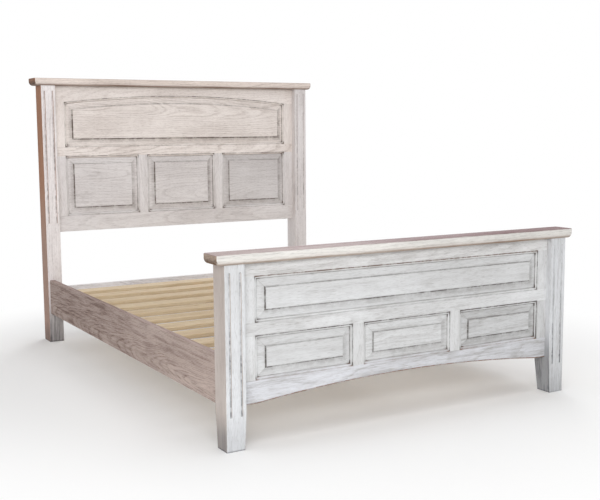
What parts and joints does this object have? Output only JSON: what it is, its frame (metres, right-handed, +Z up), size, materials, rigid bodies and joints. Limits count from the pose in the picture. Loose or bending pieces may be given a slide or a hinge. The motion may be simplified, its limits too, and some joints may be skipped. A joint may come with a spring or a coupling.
{
  "type": "panelled bed frame",
  "caption": "Wooden bed frame with a tall arched-panel headboard, a low panelled footboard, hook-on side rails and a slatted base on a centre beam.",
  "frame": {"origin": "on the floor, under the middle of the frame's outer box", "axes": "+X across the bed to the right as seen from the foot, +Y from the foot to the head, +Z up"},
  "size_m": [1.68, 2.277, 1.408],
  "materials": {
    "whitewashed_oak": "whitewashed oak, dark glaze in the crevices",
    "brown_oak": "greige stained oak",
    "plain_hardwood": "bare planed wood",
    "zinc_steel": "zinc plated",
    "leveller_plastic": "moulded, satin"
  },
  "bodies": {
    "bed_frame": {"beam_brackets": "zinc_steel", "centre_beam": "plain_hardwood", "centre_leg_front": "plain_hardwood", "centre_leg_rear": "plain_hardwood", "cleat_left": "plain_hardwood", "cleat_right": "plain_hardwood", "foot_bottom_rail": "whitewashed_oak", "foot_cap": "whitewashed_oak", "foot_mid_rail": "whitewashed_oak", "foot_mullion_left": "whitewashed_oak", "foot_mullion_right": "whitewashed_oak", "foot_panel_centre": "whitewashed_oak", "foot_panel_left": "whitewashed_oak", "foot_panel_right": "whitewashed_oak", "foot_panel_top": "whitewashed_oak", "foot_post_left": "whitewashed_oak", "foot_post_right": "whitewashed_oak", "foot_stile_lower_left": "whitewashed_oak", "foot_stile_lower_right": "whitewashed_oak", "foot_stile_upper_left": "whitewashed_oak", "foot_stile_upper_right": "whitewashed_oak", "foot_top_rail": "whitewashed_oak", "head_cap": "whitewashed_oak", "head_lower_rail": "whitewashed_oak", "head_mid_rail": "whitewashed_oak", "head_mullion_left": "whitewashed_oak", "head_mullion_right": "whitewashed_oak", "head_panel_centre": "whitewashed_oak", "head_panel_left": "whitewashed_oak", "head_panel_right": "whitewashed_oak", "head_panel_top": "whitewashed_oak", "head_post_left": "whitewashed_oak", "head_post_right": "whitewashed_oak", "head_stile_lower_left": "whitewashed_oak", "head_stile_lower_right": "whitewashed_oak", "head_stile_upper_left": "whitewashed_oak", "head_stile_upper_right": "whitewashed_oak", "head_stretcher": "whitewashed_oak", "head_top_rail": "whitewashed_oak", "leg_bolts": "zinc_steel", "leg_inserts": "zinc_steel", "plate_and_bracket_screws": "zinc_steel", "post_keeper_plates": "zinc_steel", "rail_hook_plates": "zinc_steel", "side_rail_left": "brown_oak", "side_rail_right": "brown_oak", "slat_01": "plain_hardwood", "slat_02": "plain_hardwood", "slat_03": "plain_hardwood", "slat_04": "plain_hardwood", "slat_05": "plain_hardwood", "slat_06": "plain_hardwood", "slat_07": "plain_hardwood", "slat_08": "plain_hardwood", "slat_09": "plain_hardwood", "slat_10": "plain_hardwood", "slat_11": "plain_hardwood", "slat_and_cleat_screws": "zinc_steel"},
    "leveller_front": {"leveller_front": "leveller_plastic"},
    "leveller_rear": {"leveller_rear": "leveller_plastic"}
  },
  "joints": [
    {"name": "leveller_front_screw", "type": "slide", "parent": "bed_frame", "child": "leveller_front", "axis": [0, 0, 1], "range_m": [-0.015, 0.01]},
    {"name": "leveller_rear_screw", "type": "slide", "parent": "bed_frame", "child": "leveller_rear", "axis": [0, 0, 1], "range_m": [-0.015, 0.01]}
  ]
}
